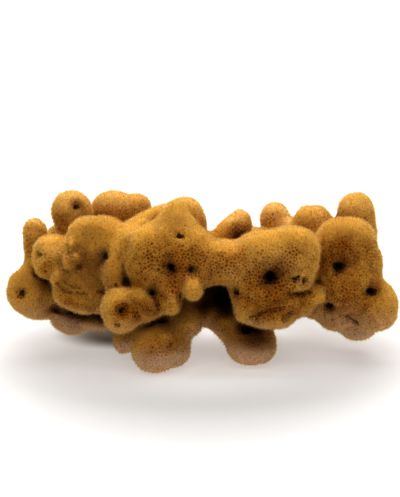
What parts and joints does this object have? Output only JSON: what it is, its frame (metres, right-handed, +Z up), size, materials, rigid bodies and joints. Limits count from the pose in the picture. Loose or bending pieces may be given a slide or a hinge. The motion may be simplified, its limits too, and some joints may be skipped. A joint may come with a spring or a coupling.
{
  "type": "sea sponge",
  "caption": "Natural sea sponge: a long mass of rounded, fused lobes with pitted openings, standing on the flats of its lowest lobes.",
  "frame": {"origin": "on the resting plane, under the middle of the bounding box", "axes": "+X along the sponge, +Z up, and the fullest face looks to -Y"},
  "size_m": [0.3018, 0.146, 0.1278],
  "materials": {
    "sponge_fibre": "matt, fibrous and finely pored, golden brown"
  },
  "bodies": {
    "root": {"sea_sponge": "sponge_fibre"}
  },
  "joints": []
}
